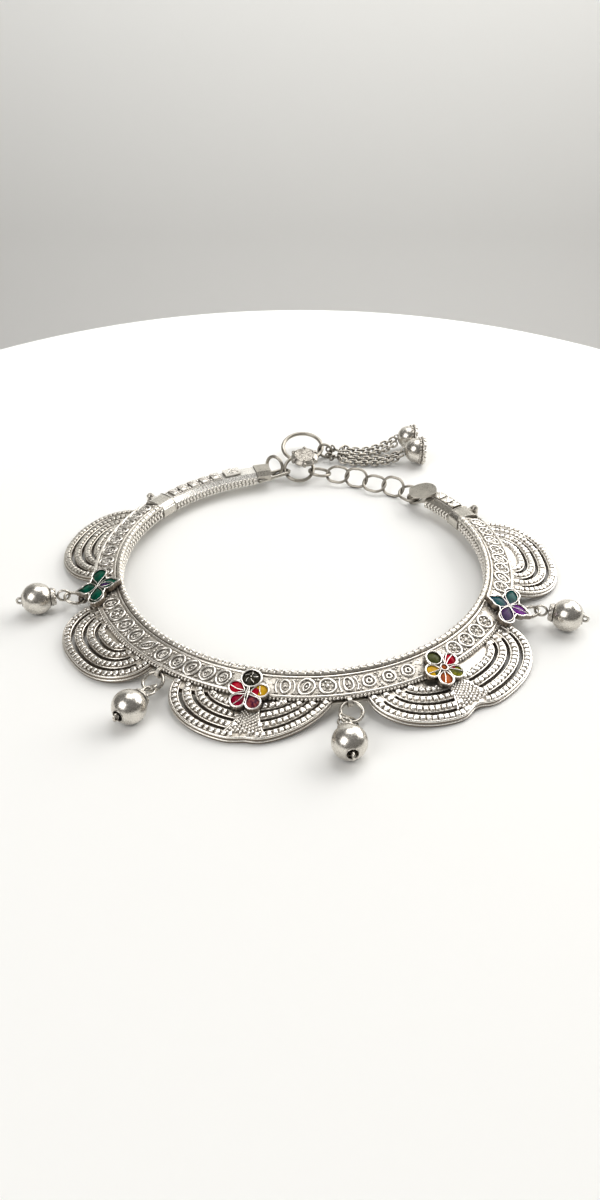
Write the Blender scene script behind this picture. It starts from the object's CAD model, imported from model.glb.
"""Silver anklet: the detail of its surfaces, its finishes, the floor, the lights and the camera.
Lengths below are millimetres in the ring's own frame (origin at the ring's centre, front at -Y);
make() turns them into metres in the row frame."""

import math

import bpy
import numpy as np
from mathutils import Matrix, Vector


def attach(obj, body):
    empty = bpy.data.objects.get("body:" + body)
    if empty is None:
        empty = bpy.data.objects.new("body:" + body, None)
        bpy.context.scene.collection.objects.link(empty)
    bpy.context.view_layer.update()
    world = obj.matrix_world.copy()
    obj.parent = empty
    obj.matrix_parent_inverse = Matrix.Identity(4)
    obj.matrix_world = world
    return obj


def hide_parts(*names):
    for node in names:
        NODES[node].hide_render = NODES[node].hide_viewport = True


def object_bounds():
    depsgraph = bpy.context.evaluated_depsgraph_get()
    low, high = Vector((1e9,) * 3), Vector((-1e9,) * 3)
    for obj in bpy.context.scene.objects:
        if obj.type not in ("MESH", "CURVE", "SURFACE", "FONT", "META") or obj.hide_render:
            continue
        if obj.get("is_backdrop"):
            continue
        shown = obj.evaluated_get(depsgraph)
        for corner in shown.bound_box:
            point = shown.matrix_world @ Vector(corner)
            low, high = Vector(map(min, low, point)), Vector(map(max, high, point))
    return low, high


rng = np.random.default_rng(11)
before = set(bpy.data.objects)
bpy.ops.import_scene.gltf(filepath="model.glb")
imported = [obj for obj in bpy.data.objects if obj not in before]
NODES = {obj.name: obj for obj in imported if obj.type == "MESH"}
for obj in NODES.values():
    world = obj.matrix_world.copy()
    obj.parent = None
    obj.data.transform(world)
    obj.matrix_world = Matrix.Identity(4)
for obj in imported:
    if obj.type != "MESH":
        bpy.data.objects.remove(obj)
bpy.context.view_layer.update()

MIDDLE = np.array([-0.87, 1.05, 0.0])   # middle of the anklet's box in the ring's frame
INNER = 40.0
BAND_H = 5.2
OUT = INNER + 5.9
BAND = (-123.6, 114.8)
TILT = math.atan(1.2 / 3.7)             # slope of the ornament face
GAP = 0.07
LIFT = 0.37
PI = math.pi


# ------------------------------------------------------------------ small maths

def rad(d):
    return d * PI / 180.0


def direction(phi):
    return np.array([math.sin(rad(phi)), -math.cos(rad(phi)), 0.0])


def polar(r, phi, z):
    """Points of the ring's frame; phi in degrees from the front, positive to the right."""
    r, phi, z = np.broadcast_arrays(np.asarray(r, float), np.asarray(phi, float), np.asarray(z, float))
    a = np.radians(phi)
    return np.stack([r * np.sin(a), -r * np.cos(a), z], -1)


def rx(a):
    c, s = math.cos(rad(a)), math.sin(rad(a))
    return np.array([[1, 0, 0], [0, c, -s], [0, s, c]], float)


def ry(a):
    c, s = math.cos(rad(a)), math.sin(rad(a))
    return np.array([[c, 0, s], [0, 1, 0], [-s, 0, c]], float)


def rz(a):
    c, s = math.cos(rad(a)), math.sin(rad(a))
    return np.array([[c, -s, 0], [s, c, 0], [0, 0, 1]], float)


def euler(a):
    """The turn that rotate([x, y, z]) makes."""
    return rz(a[2]) @ ry(a[1]) @ rx(a[0])


class Place:
    """A rigid placement: point -> R point + t."""

    def __init__(self, R=None, t=(0, 0, 0)):
        self.R = np.eye(3) if R is None else np.asarray(R, float)
        self.t = np.asarray(t, float)

    def __matmul__(self, other):
        return Place(self.R @ other.R, self.R @ other.t + self.t)

    def __call__(self, v):
        return np.asarray(v, float) @ self.R.T + self.t


def move(*t):
    return Place(t=t)


def turn(a):
    return Place(euler(a))


def at(phi):
    """x radial, y along the ring (increasing phi)."""
    return Place(rz(phi - 90))


def unit(v):
    v = np.asarray(v, float)
    return v / np.maximum(np.linalg.norm(v, axis=-1, keepdims=True), 1e-12)


# ------------------------------------------------------------------ mesh pieces

def ico(level):
    t = (1 + 5 ** 0.5) / 2
    v = [(-1, t, 0), (1, t, 0), (-1, -t, 0), (1, -t, 0), (0, -1, t), (0, 1, t), (0, -1, -t), (0, 1, -t),
         (t, 0, -1), (t, 0, 1), (-t, 0, -1), (-t, 0, 1)]
    f = [(0, 11, 5), (0, 5, 1), (0, 1, 7), (0, 7, 10), (0, 10, 11), (1, 5, 9), (5, 11, 4), (11, 10, 2), (10, 7, 6),
         (7, 1, 8), (3, 9, 4), (3, 4, 2), (3, 2, 6), (3, 6, 8), (3, 8, 9), (4, 9, 5), (2, 4, 11), (6, 2, 10),
         (8, 6, 7), (9, 8, 1)]
    v = [np.array(p, float) / np.linalg.norm(p) for p in v]
    for _ in range(level):
        seen, g = {}, []

        def mid(a, b):
            k = (min(a, b), max(a, b))
            if k not in seen:
                m = v[a] + v[b]
                v.append(m / np.linalg.norm(m))
                seen[k] = len(v) - 1
            return seen[k]
        for a, b, c in f:
            ab, bc, ca = mid(a, b), mid(b, c), mid(c, a)
            g += [(a, ab, ca), (b, bc, ab), (c, ca, bc), (ab, bc, ca)]
        f = g
    return np.array(v), np.array(f)


ICO = {0: ico(0), 1: ico(1), 2: ico(2)}


def beads(centres, radii, frames=None, level=1, square=0.0):
    """Many ellipsoids: radii along the three axes of frames, which are rows of unit vectors.
    square > 0 makes them boxier."""
    c = np.asarray(centres, float).reshape(-1, 3)
    n = len(c)
    r = np.broadcast_to(np.asarray(radii, float), (n, 3)) if np.ndim(radii) != 1 or len(np.shape(radii)) and np.shape(radii)[-1] == 3 \
        else np.repeat(np.asarray(radii, float)[:, None], 3, 1)
    tv, tf = ICO[level]
    if square:
        q = np.sign(tv) * np.abs(tv) ** (1 - square)
        tv = q / (np.abs(q) ** 4).sum(1, keepdims=True) ** 0.25
    F = np.broadcast_to(np.eye(3), (n, 3, 3)) if frames is None else np.asarray(frames, float)
    v = c[:, None, :] + np.einsum("mk,nk,nkj->nmj", tv, r, F)
    f = tf[None] + (np.arange(n) * len(tv))[:, None, None]
    return v.reshape(-1, 3), f.reshape(-1, 3)


def sweep(path, radius, sides=8, up=(0, 0, 1), closed=False, flat=1.0):
    """A tube along path. radius is one number or one per point; flat squeezes it along up."""
    p = np.asarray(path, float)
    n = len(p)
    if closed:
        t = unit(np.roll(p, -1, 0) - np.roll(p, 1, 0))
    else:
        t = unit(np.gradient(p, axis=0))
    u = np.broadcast_to(np.asarray(up, float), (n, 3))
    s = unit(np.cross(t, u))
    w = np.cross(s, t)
    r = np.broadcast_to(np.asarray(radius, float), (n,))
    a = np.linspace(0, 2 * PI, sides, endpoint=False)
    v = p[:, None, :] + r[:, None, None] * (np.cos(a)[None, :, None] * s[:, None, :] + flat * np.sin(a)[None, :, None] * w[:, None, :])
    v = v.reshape(-1, 3)
    i = np.arange(n if closed else n - 1)
    j = (i + 1) % n
    k = np.arange(sides)
    kn = (k + 1) % sides
    f = np.stack([i[:, None] * sides + k, i[:, None] * sides + kn, j[:, None] * sides + kn, j[:, None] * sides + k], -1).reshape(-1, 4)
    parts = [(v, f[:, ::-1])]
    if not closed:
        for e, flip in ((0, False), (n - 1, True)):
            c = p[e] + (t[e] * r[e] * 0.35) * (1 if flip else -1)
            ring = v[e * sides:(e + 1) * sides]
            vv = np.vstack([ring, c[None]])
            ff = np.stack([k, kn, np.full(sides, sides)], -1)
            parts.append((vv, ff if flip else ff[:, ::-1]))
    return parts


def torus(place, rc, rw, nu=64, nv=14):
    a = np.linspace(0, 2 * PI, nu, endpoint=False)
    path = np.stack([rc * np.cos(a), rc * np.sin(a), np.zeros(nu)], -1)
    return [(place(v), f) for v, f in sweep(path, rw, nv, closed=True)]


def oval(place, length, width, rw, nu=72, nv=14):
    """A link lying in XY with its long side along X."""
    s = (length - width) / 2
    rc = width / 2 - rw
    k = max(6, nu // 2)
    a = np.linspace(-PI / 2, PI / 2, k)
    right = np.stack([s + rc * np.cos(a), rc * np.sin(a)], -1)
    left = -right
    pts = np.vstack([right, left])
    path = np.column_stack([pts, np.zeros(len(pts))])
    return [(place(v), f) for v, f in sweep(path, rw, nv, closed=True)]


def pillow(outline, z0, height, place, rings=6, edge=0.35):
    """A domed fill inside a closed outline that can be seen whole from its middle."""
    o = np.asarray(outline, float)
    n = len(o)
    c = o.mean(0)
    v, f = [np.column_stack([o, np.full(n, z0)])], []
    for i in range(1, rings + 1):
        q = i / rings
        sc = 1 - q
        z = z0 + height * (1 - (1 - q) ** 2.4) * (edge + (1 - edge) * q ** 0.4)
        v.append(np.column_stack([c + (o - c) * max(sc, 0.02), np.full(n, z)]))
    k = np.arange(n)
    kn = (k + 1) % n
    for i in range(rings):
        f.append(np.stack([i * n + k, i * n + kn, (i + 1) * n + kn, (i + 1) * n + k], -1))
    v.append(np.array([[c[0], c[1], z0 + height]]))
    tri = np.stack([rings * n + k, rings * n + kn, np.full(n, (rings + 1) * n)], -1)
    v = place(np.vstack(v))
    return [(v, np.vstack(f)), (v, tri)]


def lathe(profile, place, nu=72):
    """Turns a closed profile of (radius, height) about Z."""
    p = np.asarray(profile, float)
    n = len(p)
    a = np.linspace(0, 2 * PI, nu, endpoint=False)
    v = np.stack([p[None, :, 0] * np.cos(a)[:, None], p[None, :, 0] * np.sin(a)[:, None],
                  np.broadcast_to(p[None, :, 1], (nu, n))], -1).reshape(-1, 3)
    i = np.arange(nu)
    j = (i + 1) % nu
    k = np.arange(n)
    kn = (k + 1) % n
    f = np.stack([i[:, None] * n + k, j[:, None] * n + k, j[:, None] * n + kn, i[:, None] * n + kn], -1).reshape(-1, 4)
    return [(place(v), f[:, ::-1])]


def make(name, parts, material, replaces=(), smooth=True):
    """One object from (vertices, faces) parts. material is one material or a list, with a third number in a part."""
    mats = material if isinstance(material, list) else [material]
    V, L, T, M, base = [], [], [], [], 0
    for part in parts:
        v, f = np.asarray(part[0], float), np.asarray(part[1])
        m = part[2] if len(part) > 2 else 0
        V.append(v)
        L.append((f + base).ravel())
        T.append(np.full(len(f), f.shape[1]))
        M.append(np.full(len(f), m))
        base += len(v)
    V = (np.vstack(V) - MIDDLE) / 1000.0
    L, T, M = np.concatenate(L), np.concatenate(T), np.concatenate(M)
    me = bpy.data.meshes.new(name)
    me.vertices.add(len(V))
    me.vertices.foreach_set("co", V.astype(np.float32).ravel())
    me.loops.add(len(L))
    me.loops.foreach_set("vertex_index", L.astype(np.int32))
    me.polygons.add(len(T))
    me.polygons.foreach_set("loop_start", np.concatenate([[0], np.cumsum(T)[:-1]]).astype(np.int32))
    me.update(calc_edges=True)
    for m in mats:
        me.materials.append(m)
    me.polygons.foreach_set("material_index", M.astype(np.int32))
    me.polygons.foreach_set("use_smooth", np.full(len(T), smooth))
    me.validate()
    me.update()
    o = bpy.data.objects.new(name, me)
    bpy.context.scene.collection.objects.link(o)
    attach(o, "root")
    if replaces:
        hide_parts(*replaces)
    return o


# ------------------------------------------------------------------ finishes

def silver(name, light, dark, rough=0.25, reach=0.9, power=1.6, grain=0.0, grain_scale=3500, patches=0.12, tarnish=0.0):
    """Silver that is bright where it is proud and grey-brown in its recesses. reach is millimetres."""
    m = bpy.data.materials.new(name)
    m.use_nodes = True
    t = m.node_tree
    n, l = t.nodes, t.links
    b = n["Principled BSDF"]
    b.inputs["Metallic"].default_value = 1.0
    tc = n.new("ShaderNodeTexCoord")
    ao = n.new("ShaderNodeAmbientOcclusion")
    ao.samples = 5
    ao.inputs["Distance"].default_value = reach / 1000.0
    pw = n.new("ShaderNodeMath")
    pw.operation = "POWER"
    pw.inputs[1].default_value = power
    l.new(ao.outputs["AO"], pw.inputs[0])
    cloud = n.new("ShaderNodeTexNoise")
    cloud.inputs["Scale"].default_value = 420
    cloud.inputs["Detail"].default_value = 5
    l.new(tc.outputs["Object"], cloud.inputs["Vector"])
    # patches of thin tarnish
    ramp = n.new("ShaderNodeMapRange")
    ramp.inputs["From Min"].default_value = 0.35
    ramp.inputs["From Max"].default_value = 0.75
    ramp.inputs["To Min"].default_value = 1.0
    ramp.inputs["To Max"].default_value = 1.0 - patches
    l.new(cloud.outputs["Fac"], ramp.inputs["Value"])
    mul = n.new("ShaderNodeMath")
    mul.operation = "MULTIPLY"
    l.new(pw.outputs[0], mul.inputs[0])
    l.new(ramp.outputs["Result"], mul.inputs[1])
    mix = n.new("ShaderNodeMix")
    mix.data_type = "RGBA"
    mix.inputs["A"].default_value = (*dark, 1)
    mix.inputs["B"].default_value = (*light, 1)
    l.new(mul.outputs[0], mix.inputs["Factor"])
    l.new(mix.outputs["Result"], b.inputs["Base Color"])
    fine = n.new("ShaderNodeTexNoise")
    fine.inputs["Scale"].default_value = grain_scale
    fine.inputs["Detail"].default_value = 4
    l.new(tc.outputs["Object"], fine.inputs["Vector"])
    rr = n.new("ShaderNodeMapRange")
    rr.inputs["From Min"].default_value = 0.3
    rr.inputs["From Max"].default_value = 0.7
    rr.inputs["To Min"].default_value = rough * 0.75
    rr.inputs["To Max"].default_value = rough * 1.35
    l.new(fine.outputs["Fac"], rr.inputs["Value"])
    wear = n.new("ShaderNodeMix")
    wear.data_type = "FLOAT"
    wear.inputs["A"].default_value = min(1.0, rough + 0.3)
    l.new(pw.outputs[0], wear.inputs["Factor"])
    l.new(rr.outputs["Result"], wear.inputs["B"])
    l.new(wear.outputs["Result"], b.inputs["Roughness"])
    if grain:
        bump = n.new("ShaderNodeBump")
        bump.inputs["Strength"].default_value = grain
        bump.inputs["Distance"].default_value = 0.00012
        l.new(fine.outputs["Fac"], bump.inputs["Height"])
        l.new(bump.outputs["Normal"], b.inputs["Normal"])
    return m


def enamel(name, colour, second, scale=900, mixed=0.5, rough=0.2):
    """Glossy glass enamel whose colour drifts between two shades."""
    m = bpy.data.materials.new(name)
    m.use_nodes = True
    t = m.node_tree
    n, l = t.nodes, t.links
    b = n["Principled BSDF"]
    tc = n.new("ShaderNodeTexCoord")
    noise = n.new("ShaderNodeTexNoise")
    noise.inputs["Scale"].default_value = scale
    noise.inputs["Detail"].default_value = 3
    l.new(tc.outputs["Object"], noise.inputs["Vector"])
    ramp = n.new("ShaderNodeMapRange")
    ramp.inputs["From Min"].default_value = 0.5 - mixed * 0.3
    ramp.inputs["From Max"].default_value = 0.5 + mixed * 0.3
    l.new(noise.outputs["Fac"], ramp.inputs["Value"])
    mix = n.new("ShaderNodeMix")
    mix.data_type = "RGBA"
    mix.inputs["A"].default_value = (*colour, 1)
    mix.inputs["B"].default_value = (*second, 1)
    l.new(ramp.outputs["Result"], mix.inputs["Factor"])
    l.new(mix.outputs["Result"], b.inputs["Base Color"])
    b.inputs["Roughness"].default_value = rough
    b.inputs["Coat Weight"].default_value = 0.04
    b.inputs["Specular IOR Level"].default_value = 0.07
    b.inputs["Coat Roughness"].default_value = 0.06
    bump = n.new("ShaderNodeBump")
    bump.inputs["Strength"].default_value = 0.12
    bump.inputs["Distance"].default_value = 0.0001
    l.new(noise.outputs["Fac"], bump.inputs["Height"])
    l.new(bump.outputs["Normal"], b.inputs["Normal"])
    return m




def darker_sides(m, amount):
    """Darkens the walls of a finish, which face sideways, and leaves what faces up."""
    n, l = m.node_tree.nodes, m.node_tree.links
    b = n["Principled BSDF"]
    old = b.inputs["Base Color"].links[0].from_socket
    tc = n.new("ShaderNodeTexCoord")
    sep = n.new("ShaderNodeSeparateXYZ")
    l.new(tc.outputs["Normal"], sep.inputs[0])
    up = n.new("ShaderNodeMapRange")
    up.inputs["From Min"].default_value = 0.25
    up.inputs["From Max"].default_value = 0.75
    l.new(sep.outputs["Z"], up.inputs["Value"])
    mix = n.new("ShaderNodeMix")
    mix.data_type = "RGBA"
    mix.inputs["A"].default_value = (*amount, 1)
    l.new(up.outputs["Result"], mix.inputs["Factor"])
    l.new(old, mix.inputs["B"])
    l.new(mix.outputs["Result"], b.inputs["Base Color"])
    return m


BRIGHT = (0.97, 0.93, 0.865)
RECESS = (0.25, 0.205, 0.155)

polished = silver("silver_polished", (0.74, 0.705, 0.645), (0.10, 0.082, 0.064), rough=0.25, reach=1.0, power=1.5, patches=0.2, grain=0.1, grain_scale=2200)
ring_silver = silver("silver_rings", (0.42, 0.39, 0.34), (0.06, 0.048, 0.036), rough=0.33, reach=1.0, power=1.6, patches=0.3, grain=0.08, grain_scale=1800)
chain_silver = silver("silver_chain", (0.64, 0.60, 0.53), (0.07, 0.056, 0.043), rough=0.3, reach=0.9, power=1.6, patches=0.3, grain=0.12)
wire_silver = silver("silver_wire", BRIGHT, (0.26, 0.215, 0.165), rough=0.24, reach=0.8, power=1.05, patches=0.16, grain=0.12)
far_silver = silver("silver_far", (0.82, 0.785, 0.72), (0.20, 0.165, 0.125), rough=0.27, reach=0.8, power=1.2, patches=0.25, grain=0.2)
bead_silver = silver("silver_beads", (0.99, 0.955, 0.895), RECESS, rough=0.25, reach=0.8, power=1.05, patches=0.2, grain=0.2)
rope_silver = silver("silver_rope", (0.90, 0.86, 0.79), (0.10, 0.08, 0.06), rough=0.27, reach=1.0, power=1.9, patches=0.25, grain=0.2)
ornament_silver = silver("silver_ornament", (0.98, 0.945, 0.885), (0.19, 0.158, 0.125), rough=0.25, reach=0.7, power=1.2, patches=0.14, grain=0.15)
ground_silver = silver("silver_ground", (0.76, 0.72, 0.65), (0.11, 0.088, 0.068), rough=0.36, reach=1.2, power=1.3, patches=0.35, grain=0.4, grain_scale=2600)
panel_ground = silver("silver_panel_ground", (0.86, 0.81, 0.72), (0.22, 0.175, 0.128), rough=0.38, reach=1.2, power=1.0, patches=0.35, grain=0.45, grain_scale=2600)
dull_silver = silver("silver_dull", (0.66, 0.62, 0.55), (0.12, 0.10, 0.08), rough=0.3, reach=1.2, power=1.3, patches=0.3, grain=0.2)
plain_silver = silver("silver_plain", (0.98, 0.955, 0.905), (0.16, 0.135, 0.105), rough=0.26, reach=1.2, power=1.3, patches=0.18, grain=0.1)
pave_silver = silver("silver_pave", (0.50, 0.47, 0.42), (0.07, 0.056, 0.043), rough=0.3, reach=0.5, power=1.5, patches=0.4, grain=0.4)
satin_silver = silver("silver_satin", (0.52, 0.49, 0.435), (0.10, 0.083, 0.065), rough=0.30, reach=1.2, power=1.4, patches=0.28, grain=0.12)
cup_silver = silver("silver_cups", (0.30, 0.258, 0.215), (0.05, 0.04, 0.03), rough=0.3, reach=1.2, power=1.4, patches=0.3, grain=0.2)
rim_silver = silver("silver_rims", (0.98, 0.95, 0.90), (0.42, 0.37, 0.31), rough=0.24, reach=0.5, power=1.0, patches=0.1)
drop_silver = silver("silver_drops", (0.68, 0.645, 0.58), (0.07, 0.056, 0.043), rough=0.25, reach=1.0, power=1.7, patches=0.25, grain=0.08, grain_scale=1800)

pale_ground = silver("silver_pale_ground", (0.97, 0.93, 0.86), (0.33, 0.275, 0.215), rough=0.34, reach=1.2, power=1.0, patches=0.25, grain=0.4, grain_scale=2600)
pale_beads = silver("silver_pale_beads", (1.0, 0.975, 0.93), (0.38, 0.33, 0.27), rough=0.25, reach=0.7, power=1.0, patches=0.14, grain=0.18)
pale_wire = silver("silver_pale_wire", (1.0, 0.97, 0.92), (0.38, 0.33, 0.27), rough=0.24, reach=0.7, power=1.0, patches=0.12, grain=0.12)

darker_sides(panel_ground, (0.25, 0.21, 0.17))
darker_sides(pale_ground, (0.27, 0.23, 0.19))
PALE = ("panel_front_right", "panel_back_right")

for name, o in NODES.items():
    o.data.materials.clear()
    if name.startswith("panel"):
        o.data.materials.append(pale_ground if name in PALE else panel_ground)
    elif name == "band":
        o.data.materials.append(ground_silver)
    elif name.startswith("arm"):
        o.data.materials.append(dull_silver if name.endswith("right") else plain_silver)
    elif name.startswith(("end_cap", "leaf_bail", "hinge")):
        o.data.materials.append(satin_silver)
    elif name == "clasp_disc":
        o.data.materials.append(pave_silver)
    elif name.startswith(("flower", "star")):
        o.data.materials.append(cup_silver)
    else:
        o.data.materials.append(polished)


# ------------------------------------------------------------------ band

def face(phi, d, h=0.0):
    """A point of the ornament face: d down the slope from its inner edge, h above it."""
    r = INNER + 2.0 + np.asarray(d) * math.cos(TILT) + np.asarray(h) * math.sin(TILT)
    z = BAND_H - np.asarray(d) * math.sin(TILT) + np.asarray(h) * math.cos(TILT)
    return polar(r, phi, z)


FACE_N = lambda phi: unit(polar(math.sin(TILT), phi, math.cos(TILT)))
PER_MM = 180 / PI / 43.7     # degrees for a millimetre along the face
MID_D = 1.55                 # middle of the decorated strip


def on_face_curve(phi0, pts, radius, lift=0.08, sides=7, closed=False):
    """A raised wire on the ornament face through (along, across) points about a cell's middle."""
    p = np.asarray(pts, float)
    phi = phi0 + p[:, 0] * PER_MM
    path = face(phi, MID_D + p[:, 1], lift)
    return sweep(path, radius, sides, up=FACE_N(np.array([phi0]))[0], closed=closed)


def circle(r, n=22, cx=0.0, cy=0.0, a0=0.0, a1=360.0):
    closed = abs(a1 - a0) >= 359.9
    a = np.radians(np.linspace(a0, a1, n, endpoint=not closed))
    return np.stack([cx + r * np.cos(a), cy + r * np.sin(a)], -1)


def smooth_line(pts, n=24):
    """A smooth curve through a few points."""
    p = np.asarray(pts, float)
    t = np.linspace(0, len(p) - 1, n)
    i = np.clip(t.astype(int), 0, len(p) - 2)
    u = (t - i)[:, None]
    q = lambda k: p[np.clip(i + k, 0, len(p) - 1)]
    a, b, c, d = q(-1), q(0), q(1), q(2)
    return 0.5 * (2 * b + (c - a) * u + (2 * a - 5 * b + 4 * c - d) * u ** 2 + (3 * b - a - 3 * c + d) * u ** 3)


def oval_pts(a, b, tilt=0.0, n=26, cx=0.0, cy=0.0, a0=0.0, a1=360.0):
    """Points of an ellipse a across the face and b along it, leaning by tilt degrees."""
    closed = abs(a1 - a0) >= 359.9
    t = np.radians(np.linspace(a0, a1, n, endpoint=not closed))
    x, y = b * np.cos(t), a * np.sin(t)
    c, q = math.cos(rad(tilt)), math.sin(rad(tilt))
    return np.stack([cx + x * c - y * q, cy + x * q + y * c], -1)


def leaf_line(a, b, n=13):
    """A closed pointed leaf a long each way and b wide each way."""
    t = np.linspace(-1, 1, n)
    h = b * (1 - t ** 2)
    return np.vstack([np.stack([a * t, h], -1), np.stack([a * t, -h], -1)[::-1][1:-1]])


grains = []


def scatter(phi0, n, a, b, size=(0.10, 0.2), cx=0.0, cy=0.0):
    t, q = rng.uniform(0, 2 * PI, n), np.sqrt(rng.uniform(0, 1, n))
    r = rng.uniform(size[0], size[1], n)
    c = face(phi0 + (cx + b * q * np.cos(t)) * PER_MM, MID_D + cy + a * q * np.sin(t), r * 0.4)
    grains.append(np.column_stack([c, r]))


def motif(kind, phi0, w):
    out = []
    lean = rng.uniform(-5, 5)
    if kind == "oval":
        out += on_face_curve(phi0, oval_pts(1.72, 1.36, 18 + lean), 0.26, lift=0.14, closed=True)
        out += on_face_curve(phi0, oval_pts(0.95, 0.66, 24 + lean, 18, 0.05, 0.05), 0.17, lift=0.1, closed=True)
        scatter(phi0, 9, 0.8, 0.5, (0.14, 0.24))
    elif kind == "wave":
        out += on_face_curve(phi0, oval_pts(1.82, 1.5, 30 + lean, 28), 0.27, lift=0.14, closed=True)
        out += on_face_curve(phi0, oval_pts(0.98, 0.52, 30 + lean, 20), 0.2, lift=0.13, closed=True)
        grains.append(np.column_stack([face(phi0, MID_D, 0.12)[None], [[0.26]]]))
        scatter(phi0, 8, 1.3, 1.0, (0.1, 0.16))
    elif kind == "round":
        out += on_face_curve(phi0, circle(1.6, 30), 0.28, lift=0.14, closed=True)
        grains.append(np.column_stack([face(phi0, MID_D, 0.12)[None], [[0.46]]]))
        for q in np.arange(6) * PI / 3 + lean:
            grains.append(np.column_stack([face(phi0 + 0.96 * math.cos(q) * PER_MM, MID_D + 0.96 * math.sin(q), 0.1)[None], [[0.27]]]))
    elif kind == "eye":
        out += on_face_curve(phi0, oval_pts(1.45, 0.95, lean), 0.23, lift=0.14, closed=True)
        out += on_face_curve(phi0, oval_pts(1.7, 0.9, 0, 14, -0.95, 0, 115, 245), 0.2, lift=0.1)
        out += on_face_curve(phi0, oval_pts(1.7, 0.9, 0, 14, 0.95, 0, -65, 65), 0.2, lift=0.1)
        scatter(phi0, 7, 0.7, 0.35, (0.16, 0.3))
    elif kind == "square":
        out += on_face_curve(phi0, circle(1.25, 24), 0.25, lift=0.12, closed=True)
        out += on_face_curve(phi0, circle(0.5, 14), 0.24, lift=0.14, closed=True)
        scatter(phi0, 8, 1.0, 1.0, (0.1, 0.17))
    elif kind == "leaf":
        o = leaf_line(2.0, 0.82)
        c, q = math.cos(rad(-46 + lean)), math.sin(rad(-46 + lean))
        out += on_face_curve(phi0, o @ np.array([[c, q], [-q, c]]), 0.24, lift=0.13, closed=True)
        for d in (-0.95, -0.3, 0.35, 1.0):
            grains.append(np.column_stack([face(phi0 + d * c * PER_MM, MID_D + d * q, 0.12)[None], [[0.25 - 0.05 * abs(d)]]]))
        scatter(phi0, 7, 1.5, 1.4, (0.12, 0.2))
    return out


# (from, to, motifs repeated along it, cell width in mm, bars between the cells)
STRETCHES = [
    (-122.6, -104, ["wave", "oval"], 4.0, False),
    (-104, -81.0, ["oval", "wave"], 3.9, False),
    (-70.8, -54, ["wave", "round"], 3.9, False),
    (-54, -37, ["oval", "leaf"], 3.9, True),
    (-37, -18.6, ["oval", "wave", "oval"], 3.6, False),
    (-7.4, 14, ["eye", "wave", "round"], 3.9, False),
    (14, 30.4, ["square"], 3.8, True),
    (40.8, 61.2, ["round"], 3.75, False),
    (74, 93, ["round", "wave"], 4.0, False),
    (93, 113.8, ["round", "oval"], 4.0, False),
]

bits, dots = [], []
for lo, hi, kinds, width, bars in STRETCHES:
    n = max(1, round((hi - lo) / PER_MM / width))
    step = (hi - lo) / n
    for i in range(n):
        c = lo + (i + 0.5) * step
        bits += motif(kinds[i % len(kinds)], c, width)
        if bars:
            for q in (-1.15, -0.4, 0.4, 1.15):
                dots.append(face(c - step / 2, MID_D + q, 0.1))
        for sx in (-1, 1):
            for sy in (-1, 1):
                dots.append(face(c + sx * (width / 2 - 0.2) * PER_MM, MID_D + sy * 1.5, 0.1))
bits.append(beads(np.array(dots), np.full((len(dots), 3), 0.26) * rng.uniform(0.75, 1.15, (len(dots), 1)), level=1))
# fine granules over the ground of the face
k = 1700
gphi = rng.uniform(BAND[0] + 1, BAND[1] - 1, k)
gd = rng.uniform(-0.25, 3.4, k)
bits.append(beads(face(gphi, gd, 0.0), rng.uniform(0.10, 0.2, k)[:, None] * np.ones(3), level=0))
g = np.vstack(grains)
bits.append(beads(g[:, :3], g[:, 3:] * np.ones(3), level=1))
make("band_scrolls", bits, ornament_silver)

# border wires, standing on the solid ones
bits = []
phi = np.linspace(BAND[0] + 0.3, BAND[1] - 0.3, 420)
bits += sweep(polar(INNER + 1.27, phi, BAND_H + 0.06), 0.3, 8)
bits += sweep(polar(INNER + 5.62, phi, 4.1), 0.31, 8)
make("band_border_wires", bits, wire_silver)


def rope(phi0, phi1, r, z, pitch, radii, slant, out_dir, level=1, jitter=0.06, flip=False):
    """Slanted beads in a row round the ring, like the turns of a rope. out_dir is (radial, up) of the face they lie on."""
    n = max(2, int(round(rad(phi1 - phi0) * r / pitch)))
    phi = phi0 + (np.arange(n) + 0.5) * (phi1 - phi0) / n
    c = polar(r, phi, z)
    a = np.radians(phi)
    rad_v = np.stack([np.sin(a), -np.cos(a), np.zeros(n)], -1)
    tan_v = np.stack([np.cos(a), np.sin(a), np.zeros(n)], -1)
    up_v = np.broadcast_to(np.array([0, 0, 1.0]), (n, 3))
    nor = unit(out_dir[0] * rad_v + out_dir[1] * up_v)
    side = np.cross(nor, tan_v)
    s = rad(slant) * (-1 if flip else 1)
    e1 = math.cos(s) * tan_v + math.sin(s) * side
    e2 = np.cross(nor, e1)
    F = np.stack([e1, e2, nor], 1)
    R = np.array(radii)[None, :] * (1 + rng.uniform(-jitter, jitter, (n, 1)))
    return beads(c, R, F, level)


bits = [rope(BAND[0] + 0.2, BAND[1] - 0.2, INNER + 0.3, BAND_H + 0.2, 1.5, (0.80, 0.60, 0.84), 30, (-0.3, 1.0), 2, 0.06)]
make("band_rope_rail", bits, rope_silver)

# small grains on the lip
phi = np.arange(BAND[0] + 0.6, BAND[1] - 0.6, 0.95)
n = len(phi)
lip_grains = beads(polar(INNER + 5.98, phi, 3.72), np.stack([rng.uniform(0.30, 0.38, n)] * 3, -1), level=1)
make("band_lip_grains", [lip_grains], bead_silver)

# braided rows on the inner wall
bits = []
for z, fl in ((4.4, False), (3.62, True), (2.86, False)):
    bits.append(rope(BAND[0] + 0.3, BAND[1] - 0.3, INNER - 0.1, z, 1.15, (0.70, 0.36, 0.36), 38, (-1.0, 0.0), 1, flip=fl))
make("band_inner_braid", bits, bead_silver)

# ------------------------------------------------------------------ arms

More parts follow.
